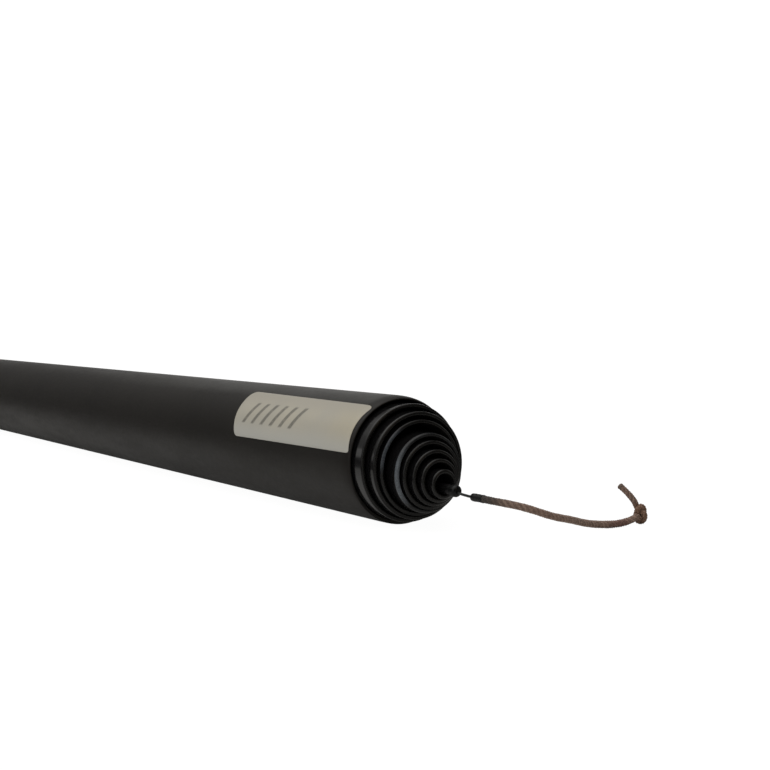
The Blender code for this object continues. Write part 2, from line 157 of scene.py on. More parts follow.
class Nodes:
    """A material's node tree, with short calls for the nodes used here."""

    def __init__(self, name):
        self.material = bpy.data.materials.new(name)
        self.material.use_nodes = True
        self.tree = self.material.node_tree
        self.shader = self.tree.nodes["Principled BSDF"]
        self.place = self.tree.nodes.new("ShaderNodeTexCoord").outputs["Object"]

    def node(self, kind, inputs=None, **settings):
        made = self.tree.nodes.new(kind)
        for key, value in settings.items():
            setattr(made, key, value)
        for key, value in (inputs or {}).items():
            self.put(made.inputs[key], value)
        return made

    def put(self, socket, value):
        if isinstance(value, bpy.types.NodeSocket):
            self.tree.links.new(value, socket)
        elif isinstance(value, (tuple, list)) and len(value) == 3 and socket.type == "RGBA":
            socket.default_value = (*value, 1.0)
        else:
            socket.default_value = value

    def math(self, operation, a, b=0.0, clamp=False):
        made = self.node("ShaderNodeMath", operation=operation, use_clamp=clamp)
        self.put(made.inputs[0], a)
        self.put(made.inputs[1], b)
        return made.outputs[0]

    def stretched(self, scale):
        made = self.node("ShaderNodeMapping", {"Vector": self.place})
        made.inputs["Scale"].default_value = scale
        return made.outputs[0]

    def noise(self, scale, detail=3.0, rough=0.55, where=None, distortion=0.0):
        inputs = {"Vector": where or self.place, "Scale": scale, "Detail": detail, "Roughness": rough, "Distortion": distortion}
        return self.node("ShaderNodeTexNoise", inputs).outputs["Fac"]

    def between(self, value, low, high, a=0.0, b=1.0, smooth=True):
        made = self.node("ShaderNodeMapRange", clamp=True)
        made.interpolation_type = "SMOOTHSTEP" if smooth else "LINEAR"
        for key, number in (("Value", value), ("From Min", low), ("From Max", high), ("To Min", a), ("To Max", b)):
            self.put(made.inputs[key], number)
        return made.outputs[0]

    def blend(self, share, a, b):
        made = self.node("ShaderNodeMix", data_type="RGBA")
        self.put(made.inputs[0], share)
        self.put(made.inputs[6], a)
        self.put(made.inputs[7], b)
        return made.outputs[2]

    def bump(self, height, distance, strength=1.0, below=None):
        made = self.node("ShaderNodeBump", {"Height": height, "Strength": strength, "Distance": distance})
        if below is not None:
            self.put(made.inputs["Normal"], below)
        return made.outputs[0]

    def attribute(self, name):
        return self.node("ShaderNodeAttribute", attribute_name=name).outputs["Fac"]

    def axes(self):
        made = self.node("ShaderNodeSeparateXYZ", {"Vector": self.place})
        return made.outputs[0], made.outputs[1], made.outputs[2]

    def set(self, **values):
        names = {
            "colour": "Base Color", "roughness": "Roughness", "metallic": "Metallic", "normal": "Normal",
            "ior": "IOR", "coat": "Coat Weight", "coat_roughness": "Coat Roughness",
            "sheen": "Sheen Weight", "sheen_roughness": "Sheen Roughness", "specular": "Specular IOR Level",
        }
        for key, value in values.items():
            self.put(self.shader.inputs[names[key]], value)
        return self.material


# ------------------------------------------------------------------ materials


def satin_lacquer():
    """The butt: satin black-brown paint over a wound composite tube, with a fine orange peel, and a faint
    highlight painted along the top near the rim."""
    n = Nodes("butt_satin_lacquer")
    cloudy = n.noise(26.0, 4.0, 0.6)
    fine = n.noise(900.0, 3.0, 0.6)
    tint = n.blend(n.between(cloudy, 0.3, 0.7), (0.0075, 0.0064, 0.0052), (0.0115, 0.0098, 0.0080))
    tint = n.blend(n.between(fine, 0.45, 0.75, 0.0, 0.35), tint, (0.016, 0.0145, 0.0125))
    # Painted highlight: a lighter grey painted along the top of the butt. It grows from 280 mm, is full from 405 mm,
    # and fades out just short of the rim.
    x, y, z = n.axes()
    lifted = n.math("SUBTRACT", z, butt_centre(RIM_X - 60.0) * MM)
    painted_top_highlight = n.math("MULTIPLY", n.between(lifted, 0.0096, 0.0112), n.between(x, 0.280, 0.405))
    painted_top_highlight = n.math("MULTIPLY", painted_top_highlight, n.between(x, 0.4285, 0.4305, 1.0, 0.0))
    tint = n.blend(n.math("MULTIPLY", painted_top_highlight, 0.8), tint, (0.046, 0.046, 0.043))
    worn = n.noise(150.0, 5.0, 0.65, n.stretched((0.25, 1.0, 1.0)))
    rough = n.math("ADD", n.between(worn, 0.3, 0.75, 0.48, 0.56), n.between(fine, 0.3, 0.7, -0.02, 0.02))
    peel = n.bump(n.noise(620.0, 2.0, 0.5), 0.000012, 0.55)
    wound = n.bump(n.noise(2600.0, 2.0, 0.6, n.stretched((0.6, 1.0, 1.0))), 0.000006, 0.5, peel)
    return n.set(colour=tint, roughness=rough, normal=wound, ior=1.5, specular=0.25)


def gloss_lacquer(name, dark=(0.0030, 0.0030, 0.0034), light=(0.0055, 0.0054, 0.0056), rough=(0.10, 0.19), specular=0.5):
    """The inner sections: gloss black, with faint lengthwise rub marks from sliding in and out."""
    n = Nodes(name)
    cloudy = n.noise(60.0, 4.0, 0.6)
    rub_marks_and_painted_gleam = n.noise(700.0, 3.0, 0.65, n.stretched((0.02, 1.0, 1.0)))
    dust = n.between(n.noise(2400.0, 2.0, 0.5), 0.66, 0.74)
    tint = n.blend(n.between(cloudy, 0.3, 0.7), dark, light)
    tint = n.blend(n.math("MULTIPLY", dust, 0.22), tint, (0.035, 0.033, 0.030))
    roughness = n.math("ADD", n.between(rub_marks_and_painted_gleam, 0.35, 0.7, rough[0], rough[1]), n.math("MULTIPLY", dust, 0.12))
    ripple = n.bump(n.noise(240.0, 2.0, 0.5, n.stretched((0.35, 1.0, 1.0))), 0.00003, 0.35)
    scratch = n.bump(rub_marks_and_painted_gleam, 0.000004, 0.4, ripple)
    return n.set(colour=tint, roughness=roughness, normal=scratch, ior=1.5, specular=specular)


def sealed_end(name, dark, light, rough=(0.22, 0.34), painted_reflection=None):
    """The sections' fore ends: rounded over and sealed with lacquer, with the wall's layers faint in it.
    The last argument paints a bluish reflection on one side, standing in for the light that side catches.
    It gives the colour, the height of the ring's centre, and the angles up from -Y where it starts, is full, starts to
    fade and is gone."""
    n = Nodes(name)
    across = n.attribute("across")
    layers = n.math("SINE", n.math("MULTIPLY", across, 34.0))
    grain = n.noise(2600.0, 4.0, 0.7)
    patch = n.noise(420.0, 3.0, 0.6)
    tint = n.blend(n.between(patch, 0.3, 0.7), dark, light)
    tint = n.blend(n.math("MULTIPLY", n.between(layers, -1.0, 1.0), 0.3), tint, tuple(1.4 * v for v in light))
    if painted_reflection is not None:
        x, y, z = n.axes()
        turn = n.math("ARCTAN2", n.math("SUBTRACT", z, painted_reflection[1] * MM), n.math("MULTIPLY", y, -1.0))
        turn = n.math("ADD", turn, n.math("MULTIPLY", n.math("SUBTRACT", patch, 0.5), 0.25))
        # Painted reflection: a band of lighter, bluish colour painted on one side of the end, standing in for the light
        # that side catches.
        rub_marks_and_painted_gleam = n.math("MULTIPLY", n.between(turn, painted_reflection[2], painted_reflection[3]), n.between(turn, painted_reflection[4], painted_reflection[5], 1.0, 0.0))
        tint = n.blend(rub_marks_and_painted_gleam, tint, n.blend(n.between(grain, 0.35, 0.7), tuple(0.75 * v for v in painted_reflection[0]), painted_reflection[0]))
    roughness = n.between(n.math("ADD", grain, n.math("MULTIPLY", patch, 0.5)), 0.5, 1.0, *rough)
    low = n.bump(layers, 0.000003, 0.4)
    normal = n.bump(grain, 0.000006, 0.5, low)
    return n.set(colour=tint, roughness=roughness, normal=normal, ior=1.5, specular=0.26)


def bore_composite():
    """Inside the tubes: raw black composite."""
    n = Nodes("section_bore")
    weave = n.noise(1300.0, 4.0, 0.7, n.stretched((0.3, 1.0, 1.0)))
    tint = n.blend(n.between(weave, 0.35, 0.7), (0.0028, 0.0028, 0.0030), (0.0070, 0.0068, 0.0064))
    return n.set(colour=tint, roughness=n.between(weave, 0.3, 0.7, 0.5, 0.68), normal=n.bump(weave, 0.00002, 0.6), ior=1.45)


LABEL_BARS = 6


def label_film():
    """Pale satin film with a row of plain slanted bars."""
    n = Nodes("label_film")
    x, y, z = n.axes()
    centre = butt_centre(RIM_X - 22.0) * MM
    radius = butt_radius(RIM_X - 22.0)
    angle = n.math("ARCTAN2", n.math("SUBTRACT", z, centre), n.math("MULTIPLY", y, -1.0))
    up_mm = n.math("MULTIPLY", angle, radius)
    along = n.math("SUBTRACT", n.math("MULTIPLY", x, 1000.0), RIM_X)
    slanted = n.math("ADD", along, n.math("MULTIPLY", up_mm, -0.55))
    low, high = math.radians(23.0) * radius, math.radians(46.0) * radius
    tall = n.math("MULTIPLY", n.between(up_mm, low - 0.25, low + 0.25), n.between(up_mm, high - 0.25, high + 0.25, 1.0, 0.0))
    bars = 0.0
    first, step, wide, soft = -46.4, 3.94, 1.3, 0.28
    for k in range(LABEL_BARS):
        at = first + k * step
        bar = n.math("MULTIPLY", n.between(slanted, at - soft, at + soft), n.between(slanted, at + wide - soft, at + wide + soft, 1.0, 0.0))
        bars = n.math("ADD", bars, bar)
    fibre = n.noise(1500.0, 4.0, 0.6)
    cloudy = n.noise(70.0, 3.0, 0.55)
    printed = n.math("MULTIPLY", n.math("MULTIPLY", bars, tall), n.between(fibre, 0.25, 0.6, 0.62, 0.92))
    paper_with_painted_shading = n.blend(n.between(cloudy, 0.3, 0.7), (0.472, 0.452, 0.388), (0.520, 0.488, 0.400))
    paper_with_painted_shading = n.blend(n.between(along, -14.0, -1.0, 0.0, 0.7), paper_with_painted_shading, (0.496, 0.452, 0.344))
    paper_with_painted_shading = n.blend(n.between(fibre, 0.4, 0.8, 0.0, 0.25), paper_with_painted_shading, (0.432, 0.416, 0.376))
    # Painted light and shade: the film is painted lighter towards its lower edge and darker towards its upper edge,
    # evening out how the light falls across it.
    paper_with_painted_shading = n.blend(n.between(up_mm, 2.0, 6.5, 0.8, 0.0), paper_with_painted_shading, (0.560, 0.560, 0.520))
    paper_with_painted_shading = n.blend(n.between(up_mm, 8.0, 12.4, 0.0, 0.75), paper_with_painted_shading, (0.400, 0.376, 0.320))
    tint = n.blend(printed, paper_with_painted_shading, (0.172, 0.164, 0.140))
    rough = n.between(cloudy, 0.3, 0.7, 0.36, 0.46)
    normal = n.bump(n.noise(500.0, 2.0, 0.5), 0.000012, 0.5)
    return n.set(colour=tint, roughness=rough, normal=normal, ior=1.46)


def moulded(name, dark, light, rough=(0.40, 0.52), depth=0.00002, scale=2200.0, specular=0.5):
    n = Nodes(name)
    grain = n.noise(scale, 3.0, 0.6)
    cloudy = n.noise(90.0, 3.0, 0.55)
    tint = n.blend(n.between(cloudy, 0.3, 0.7), dark, light)
    roughness = n.math("ADD", n.between(cloudy, 0.3, 0.7, rough[0], rough[1]), n.between(grain, 0.3, 0.7, -0.03, 0.03))
    return n.set(colour=tint, roughness=roughness, normal=n.bump(grain, depth, 0.6), ior=1.48, specular=specular)


def metal(name, dark, light, rough=(0.3, 0.42), stretch=(0.03, 1.0, 1.0)):
    n = Nodes(name)
    drawn = n.noise(2600.0, 3.0, 0.6, n.stretched(stretch))
    tint = n.blend(n.between(drawn, 0.3, 0.7), dark, light)
    return n.set(colour=tint, roughness=n.between(drawn, 0.3, 0.7, *rough), metallic=1.0, normal=n.bump(drawn, 0.000006, 0.5))


def foam():
    n = Nodes("plug_foam")
    cells = n.node("ShaderNodeTexVoronoi", {"Vector": n.place, "Scale": 1500.0}).outputs["Distance"]
    tint = n.blend(n.between(cells, 0.1, 0.6), (0.020, 0.020, 0.022), (0.060, 0.060, 0.064))
    return n.set(colour=tint, roughness=n.between(cells, 0.1, 0.6, 0.85, 0.95), normal=n.bump(cells, 0.0001, 0.8))


def braid_yarn(name, start=None):
    """Brown braid. Each strand has its own shade and its fibres run along it; near the collar it is
    stained dark, and towards the knot it has a ruddy stretch."""
    n = Nodes(name)
    strand = n.attribute("strand")  # from 0, the core, over the strands' own shades to 1
    along = n.attribute("along")
    fibre = n.noise(5200.0, 3.0, 0.65)
    cloudy = n.noise(230.0, 3.0, 0.6)
    tint = n.blend(n.between(strand, 0.15, 1.0, smooth=False), (0.130, 0.081, 0.060), (0.345, 0.237, 0.187))
    tint = n.blend(n.between(cloudy, 0.35, 0.7, 0.0, 0.4), tint, (0.250, 0.148, 0.115))
    tint = n.blend(n.between(fibre, 0.4, 0.75, 0.0, 0.5), tint, (0.430, 0.322, 0.257))
    tint = n.blend(n.between(strand, 0.02, 0.12, 1.0, 0.0), tint, (0.025, 0.015, 0.011))
    if start is None:
        tint = n.blend(n.attribute("snug"), tint, (0.222, 0.118, 0.066))
    if start is not None:
        away = n.node("ShaderNodeVectorMath", {0: n.place, 1: tuple(v * MM for v in start)}, operation="DISTANCE").outputs["Value"]
        soot = n.between(n.math("ADD", away, n.math("MULTIPLY", n.math("SUBTRACT", cloudy, 0.5), 0.003)), 0.0004, 0.0062, 1.0, 0.0)
        tint = n.blend(n.math("MULTIPLY", soot, 0.88), tint, (0.022, 0.023, 0.021))
        ruddy = n.math("MULTIPLY", n.between(along, 32.5, 34.5), n.between(along, 37.5, 39.5, 1.0, 0.0))
        tint = n.blend(n.math("MULTIPLY", ruddy, n.between(cloudy, 0.35, 0.6, 0.25, 0.75)), tint, (0.145, 0.058, 0.050))
    ridge = n.math("SINE", n.math("MULTIPLY", along, 46.0))
    low = n.bump(ridge, 0.000010, 0.35)
    return n.set(colour=tint, roughness=n.between(fibre, 0.3, 0.7, 0.72, 0.86), normal=n.bump(fibre, 0.00003, 0.6, low), sheen=0.12, sheen_roughness=0.5, ior=1.45)


SATIN = satin_lacquer()
GLOSS = gloss_lacquer("section_gloss_lacquer")
TIP_GLOSS = gloss_lacquer("tip_gloss_lacquer", (0.0018, 0.0018, 0.0020), (0.0034, 0.0034, 0.0036), (0.30, 0.40), 0.25)
SEALED = sealed_end("section_sealed_end", (0.0040, 0.0039, 0.0037), (0.0075, 0.0071, 0.0064))
# Section 5's end is lighter and bluer than the other ends, with a bluish reflection painted on its lower left and left.
# Section 4's end has a fainter painted highlight on its left and upper left.
SEALED_5_PAINTED_REFLECTION = sealed_end(
    "section_5_sealed_end", (0.0060, 0.0066, 0.0072), (0.0105, 0.0112, 0.0120),
    painted_reflection=((0.130, 0.147, 0.165), sections[4].centre(sections[4].fore_x), -0.95, -0.45, 0.15, 0.95),
)
SEALED_4_PAINTED_REFLECTION = sealed_end(
    "section_4_sealed_end", (0.0040, 0.0039, 0.0037), (0.0075, 0.0071, 0.0064),
    painted_reflection=((0.068, 0.077, 0.090), sections[3].centre(sections[3].fore_x), -0.15, 0.2, 0.75, 1.15),
)
BORE = bore_composite()
FILM = label_film()
CAP_BLACK = moulded("cap_moulded", (0.010, 0.010, 0.0105), (0.0155, 0.0152, 0.0150))
PAD_RUBBER = moulded("pad_rubber", (0.014, 0.0138, 0.0135), (0.024, 0.0235, 0.0225), rough=(0.66, 0.8), depth=0.00004)
SEAL_RUBBER = moulded("seal_rubber", (0.006, 0.006, 0.006), (0.011, 0.011, 0.011), rough=(0.5, 0.62))
BEAD_BLACK = moulded("bead_black", (0.0010, 0.0012, 0.0013), (0.0020, 0.0024, 0.0025), rough=(0.30, 0.38), depth=0.000006, specular=0.25)
SHRINK = moulded("collar_shrink", (0.0016, 0.0017, 0.0020), (0.0034, 0.0036, 0.0040), rough=(0.38, 0.5), depth=0.00003, scale=3200.0, specular=0.36)
WIRE = metal("wire_steel", (0.055, 0.060, 0.060), (0.120, 0.126, 0.124))
RING = metal("ring_aluminium", (0.33, 0.33, 0.34), (0.52, 0.52, 0.53))
SLEEVE = moulded("sleeve_composite", (0.020, 0.015, 0.010), (0.045, 0.034, 0.024), rough=(0.55, 0.7), depth=0.00006, scale=900.0)
FOAM = foam()
CORD_YARN = braid_yarn("cord_braid", CORD_START)
KNOT_YARN = braid_yarn("knot_braid")
CUT_YARN = moulded("cord_cut_end", (0.098, 0.066, 0.052), (0.196, 0.137, 0.108), rough=(0.6, 0.8), depth=0.00006, scale=4200.0)


# ------------------------------------------------------------------ mesh helpers


def shaped(name, points, faces, materials, bands=None, sharp=32.0, attributes=None):
    """An object from points in millimetres, with outward faces, smooth shading and one material for
    each band of faces."""
    mesh = bpy.data.meshes.new(name)
    mesh.from_pydata((np.asarray(points, float) * MM).tolist(), [], faces)
    if bands is not None:
        mesh.polygons.foreach_set("material_index", np.asarray(bands, np.int32))
    for key, values in (attributes or {}).items():
        layer = mesh.attributes.new(key, "FLOAT", "POINT")
        layer.data.foreach_set("value", np.asarray(values, np.float32))
    bm = bmesh.new()
    bm.from_mesh(mesh)
    bmesh.ops.recalc_face_normals(bm, faces=bm.faces)
    bm.to_mesh(mesh)
    bm.free()
    mesh.shade_smooth()
    if sharp is not None:
        mesh.set_sharp_from_angle(angle=math.radians(sharp))
    for one in materials:
        mesh.materials.append(one)
    obj = bpy.data.objects.new(name, mesh)
    bpy.context.scene.collection.objects.link(obj)
    return obj


def arc(x, r, radius, start, end, count):
    """Points round (x, r), from one angle to another, 0 along +X and 90 outwards."""
    angles = np.radians(np.linspace(start, end, count))
    return [(x + radius * math.cos(a), r + radius * math.sin(a)) for a in angles]


def lathe(name, profile, sides, materials, centre=None, loop=True, bands=None, reshape=None, sharp=32.0, across=None):
    """Spins a profile of (x, radius) round X. A loop is a tube or a ring, and an open profile starts
    and ends on the axis."""
    angles = 2 * np.pi * (np.arange(sides) + 0.5) / sides
    points, rings, values = [], [], []
    for i, (x, r) in enumerate(profile):
        middle = centre(x) if centre else 0.0
        if r < 1e-6:
            rings.append([len(points)] * sides)
            points.append((x, 0.0, middle))
            values.append(across[i] if across else 0.0)
            continue
        radii = np.full(sides, float(r))
        if reshape is not None:
            radii = reshape(x, radii, angles)
        first = len(points)
        rings.append(list(range(first, first + sides)))
        points.extend(zip([x] * sides, radii * np.cos(angles), middle + radii * np.sin(angles)))
        values.extend([across[i] if across else 0.0] * sides)
    faces, marks = [], []
    count = len(profile)
    for i in range(count if loop else count - 1):
        a, b = rings[i], rings[(i + 1) % count]
        for j in range(sides):
            k = (j + 1) % sides
            face = []
            for corner in (a[j], a[k], b[k], b[j]):
                if corner not in face:
                    face.append(corner)
            if len(face) > 2:
                faces.append(face)
                marks.append(bands[i] if bands else 0)
    return shaped(name, points, faces, materials, marks, sharp, {"across": values} if across else None)


def stations(start, end, step):
    count = max(1, round(abs(end - start) / step))
    return [start + (end - start) * i / count for i in range(count + 1)]


def tube(name, section, rear_x, materials, outer_round, inner_round, sides, outer_long=None, reshape=None):
    """A hollow section: lacquered outside, a cut fore end with broken edges, and a raw bore."""
    fore, wall = section.fore_x, WALL
    profile, bands, across = [], [], []

    def add(x, r, band):
        profile.append((x, r))
        bands.append(band)
        across.append((r - (section.radius(x) - wall)) / wall)

    add(rear_x, section.radius(rear_x) - wall + 0.08, 1)
    add(rear_x, section.radius(rear_x) - 0.10, 1)
    add(rear_x + 0.10, section.radius(rear_x + 0.10), 0)
    long = outer_long or outer_round
    for x in stations(rear_x + 1.0, fore - long - 1.2, 24.0):
        add(x, section.radius(x), 0)
    add(fore - long - 0.25, section.radius(fore - long - 0.25), 0)
    edge = section.fore_r - outer_round
    for k, (x, r) in enumerate(arc(0.0, edge, outer_round, 90, 0, 17 if outer_long else 13)):
        add(fore - long + x * long / outer_round, r, 0 if k < 3 else 1)
    inner = section.fore_r - wall
    if edge - inner - inner_round > 0.03:
        middle = (edge + inner + inner_round) / 2
        add(fore, middle, 1)
    for k, (x, r) in enumerate(arc(fore - inner_round, inner + inner_round, inner_round, 0, -90, 9)):
        add(x, r, 1 if k < 7 else 2)
    for x in [fore - 1.0, fore - 3.0, fore - 8.0] + stations(fore - 20.0, rear_x + 1.0, 40.0):
        add(x, section.radius(x) - wall, 2)
    bands[-1] = 2
    add(rear_x + 0.08, section.radius(rear_x) - wall, 2)
    return lathe(name, profile, sides, materials, section.centre, True, bands, reshape, across=across)


# ------------------------------------------------------------------ the cord, its knot and its cut end


def natural_spline(values, at):
    y = np.array(values, float)
    n = len(y)
    system = np.eye(n)
    turns = np.zeros(n)
    for i in range(1, n - 1):
        system[i, i - 1 : i + 2] = (1, 4, 1)
        turns[i] = 6 * (y[i - 1] - 2 * y[i] + y[i + 1])
    m = np.linalg.solve(system, turns)
    i = np.clip(np.floor(at).astype(int), 0, n - 2)
    t = at - i
    return (
        (1 - t) * y[i]
        + t * y[i + 1]
        + ((1 - t) ** 3 - (1 - t)) / 6 * m[i]
        + (t**3 - t) / 6 * m[i + 1]
    )


def cord_route(count):
    steps = 480
    at = np.linspace(0, len(CORD_HEADING) - 1, steps + 1)
    heading = np.radians(natural_spline(CORD_HEADING, at))
    climb = np.radians(natural_spline(CORD_CLIMB, at))
    way = np.stack([np.cos(heading) * np.cos(climb), np.sin(heading) * np.cos(climb), np.sin(climb)], 1)
    moved = np.cumsum((way[1:] + way[:-1]) / 2 * CORD_LENGTH / steps, axis=0)
    line = np.concatenate([[CORD_START], np.array(CORD_START) + moved])
    return line[np.round(np.linspace(0, steps, count)).astype(int)]


def tail_route(count):
    t = np.linspace(0, 1, count)[:, None]
    a, b, c = (np.array(p) for p in (TAIL_START, TAIL_BEND, TAIL_END))
    control = 2 * b - (a + c) / 2
    return (1 - t) ** 2 * a + 2 * (1 - t) * t * control + t**2 * c


SIDEWAYS = np.array(tuple(right))
NEARER = np.array((math.sin(YAW + math.pi / 2), -math.cos(YAW + math.pi / 2), 0.0))
NEARER = -NEARER if np.dot(NEARER, np.array(tuple(forward))) > 0 else NEARER
UP = np.array((0.0, 0.0, 1.0))
KNOT_RING, KNOT_WAVE, KNOT_DEEP, KNOT_SHIFT = 0.88, 0.32, 0.52, -0.16
KNOT_WIDE, KNOT_TALL = 0.89, 1.22
KNOT_IN, KNOT_OUT = 0.52, 2 * math.pi - 0.74


def knot_route(count):
    """An overhand knot: a trefoil opened at its left lobe."""
    t = np.linspace(KNOT_IN, KNOT_OUT, count)
    reach = KNOT_RING + KNOT_WAVE * np.cos(3 * t)
    across = -reach * np.cos(2 * t) * KNOT_WIDE + KNOT_SHIFT
    rise = -reach * np.sin(2 * t) * KNOT_TALL
    depth = KNOT_DEEP * np.sin(3 * t)
    return (
        np.array(KNOT_CENTRE)
        + across[:, None] * SIDEWAYS
        + rise[:, None] * UP
        + depth[:, None] * NEARER
    )


def bridge(a, way_a, b, way_b, count, pull):
    t = np.linspace(0, 1, count)[1:-1, None]
    a, b = np.array(a), np.array(b)
    ta, tb = (np.array(w) / np.linalg.norm(w) * pull for w in (way_a, way_b))
    return (
        (2 * t**3 - 3 * t**2 + 1) * a + (t**3 - 2 * t**2 + t) * ta
        + (3 * t**2 - 2 * t**3) * b + (t**3 - t**2) * tb
    )


def respaced(line, step):
    along = np.concatenate([[0], np.cumsum(np.linalg.norm(np.diff(line, axis=0), axis=1))])
    at = np.linspace(0, along[-1], max(2, round(along[-1] / step)) + 1)
    return np.stack([np.interp(at, along, line[:, k]) for k in range(3)], 1)


BRAID_STEP = 0.08
cord_line = cord_route(241)
knot_line = knot_route(120)
tail_line = tail_route(40)[6:]
entry = bridge(cord_line[-1], cord_line[-1] - cord_line[-2], knot_line[0], knot_line[1] - knot_line[0], 12, 0.9)
leave = bridge(knot_line[-1], knot_line[-1] - knot_line[-2], tail_line[0], tail_line[1] - tail_line[0], 12, 1.2)
whole = respaced(np.concatenate([cord_line, entry, knot_line, leave, tail_line]), BRAID_STEP)
for _ in range(3):
    whole[1:-1] = whole[1:-1] * 0.5 + (whole[:-2] + whole[2:]) * 0.25
whole_s = np.concatenate([[0], np.cumsum(np.linalg.norm(np.diff(whole, axis=0), axis=1))])
CORD_ENDS_AT = CORD_LENGTH
KNOT_ENDS_AT = whole_s[-1] - 4.6


def frames_along(line):
    """Tangents and two directions across, carried along without twist."""
    way = np.gradient(line, axis=0)
    way /= np.linalg.norm(way, axis=1)[:, None]
    first = np.cross(way[0], (0.0, 0.0, 1.0))
    first /= np.linalg.norm(first)
    side = [first]
    for i in range(1, len(line)):
        v = side[-1] - way[i] * np.dot(side[-1], way[i])
        side.append(v / np.linalg.norm(v))
    side = np.array(side)
    return way, side, np.cross(way, side)


whole_way, whole_side, whole_over = frames_along(whole)


def cord_radius(s):
    """Half the cord's thickness: full along its length, pressed in the knot, a little thin past it."""
    free, pressed, thin = CORD_D / 2 + 0.045, 0.615, TAIL_D / 2 + 0.035
    r = np.interp(s, [0, CORD_ENDS_AT - 0.6, CORD_ENDS_AT + 0.9, KNOT_ENDS_AT - 0.5, KNOT_ENDS_AT + 0.6, whole_s[-1]], [free, free, pressed, pressed, thin, thin])
    uneven = 0.012 * np.sin(s * 1.7) + 0.008 * np.sin(s * 4.1 + 1.0) + 0.04 * np.exp(-(((s - 34.0) / 5.0) ** 2))
    return r + uneven


STRANDS = 12
BRAID_PITCH = 3.1


def braided(name, start, end, materials, first_cap=None):
    """The stretch of the braid between two lengths: strands over and under each other round a core."""
    keep = np.nonzero((whole_s >= start - 1e-6) & (whole_s <= end + 1e-6))[0]
    s, line, side, over = whole_s[keep], whole[keep], whole_side[keep], whole_over[keep]
    way = whole_way[keep]
    radius = cord_radius(s)
    thick, half = 0.22, STRANDS // 2
    turn = 2 * np.pi * s / BRAID_PITCH
    points, faces, bands, strand_of, along_of = [], [], [], [], []
    corners = 6
    shade = (0.2, 0.85, 0.35, 1.0, 0.3, 0.75, 0.55, 0.2, 0.95, 0.3, 0.8, 0.4)

    def sweep(centres, wide_way, thick_way, wide, deep, tone, band):
        first = len(points)
        for k in range(corners):
            a = 2 * math.pi * (k + 0.5) / corners
            ring = centres + wide_way * (wide * math.cos(a)) + thick_way * (deep * math.sin(a))[:, None]
            points.extend(ring.tolist())
            strand_of.extend([tone] * len(ring))
            along_of.extend(s.tolist())
        n = len(centres)
        for k in range(corners):
            a, b = first + k * n, first + ((k + 1) % corners) * n
            for i in range(n - 1):
                faces.append((a + i, a + i + 1, b + i + 1, b + i))
                bands.append(band)
        faces.append([first + k * n for k in range(corners)])
        faces.append([first + k * n + n - 1 for k in range(corners)])
        bands.extend([band, band])

    for k in range(STRANDS):
        hand = 1 if k < half else -1
        angle = 2 * np.pi * (k % half) / half + hand * turn
        lift = hand * 0.5 * thick * np.cos(half * turn)
        out = np.cos(angle)[:, None] * side + np.sin(angle)[:, None] * over
        r = radius - thick + lift
        centres = line + out * r[:, None]
        path = np.gradient(centres, axis=0)
        path /= np.linalg.norm(path, axis=1)[:, None]
        wide_way = np.cross(path, out)
        wide_way /= np.linalg.norm(wide_way, axis=1)[:, None]
        deep_way = np.cross(wide_way, path)
        sweep(centres, wide_way, deep_way, 0.185, np.full(len(s), 0.5 * thick), shade[k % 12], 0)
    corners = 12
    core = radius - 1.6 * thick
    first = len(points)
    n = len(s)
    for k in range(corners):
        a = 2 * math.pi * k / corners
        ring = line + (side * math.cos(a) + over * math.sin(a)) * core[:, None]
        points.extend(ring.tolist())
        strand_of.extend([0.0] * n)
        along_of.extend(s.tolist())
    for k in range(corners):
        a, b = first + k * n, first + ((k + 1) % corners) * n
        for i in range(n - 1):
            faces.append((a + i, a + i + 1, b + i + 1, b + i))
            bands.append(0)
    faces.append([first + k * n for k in range(corners)])
    faces.append([first + k * n + n - 1 for k in range(corners)])
    bands.extend([0, 0])
    snug = np.interp(along_of, [CORD_ENDS_AT - 0.5, CORD_ENDS_AT + 0.6, KNOT_ENDS_AT - 0.3, KNOT_ENDS_AT + 0.5], [0.0, 0.62, 0.62, 0.0])
    obj = shaped(name, points, faces, materials, bands, 70.0, {"strand": strand_of, "along": along_of, "snug": snug})
    return obj, line


def cut_end(name, at):
    """The tail's sealed cut: the strands' ends fused to a low uneven dome."""
    centre, way, side, over = whole[-1], whole_way[-1], whole_side[-1], whole_over[-1]
    r = cord_radius(whole_s[-1]) * 0.97
    points, faces, rings = [], [], []
    steps = [(-0.30, 0.94), (-0.08, 1.0), (0.06, 0.97), (0.16, 0.84), (0.23, 0.55), (0.25, 0.25)]
    count = 24
    rings.append([0] * count)
    points.append(centre - way * 0.34)
    for depth, share in steps:
        first = len(points)
        for k in range(count):
            a = 2 * math.pi * k / count
            lumpy = 1.0 + 0.035 * math.sin(6 * a + depth * 9) + 0.02 * math.sin(11 * a + 2.0)
            reach = r * share * lumpy
            points.append(centre + way * (depth + 0.03 * math.sin(5 * a)) + (side * math.cos(a) + over * math.sin(a)) * reach)
        rings.append(list(range(first, first + count)))
    rings.append([len(points)] * count)
    points.append(centre + way * 0.24)
    for a, b in zip(rings, rings[1:]):
        for j in range(count):
            k = (j + 1) % count
            face = []
            for corner in (a[j], a[k], b[k], b[j]):
                if corner not in face:
                    face.append(corner)
            faces.append(face)
    return shaped(name, points, faces, [CUT_YARN], None, 60.0)


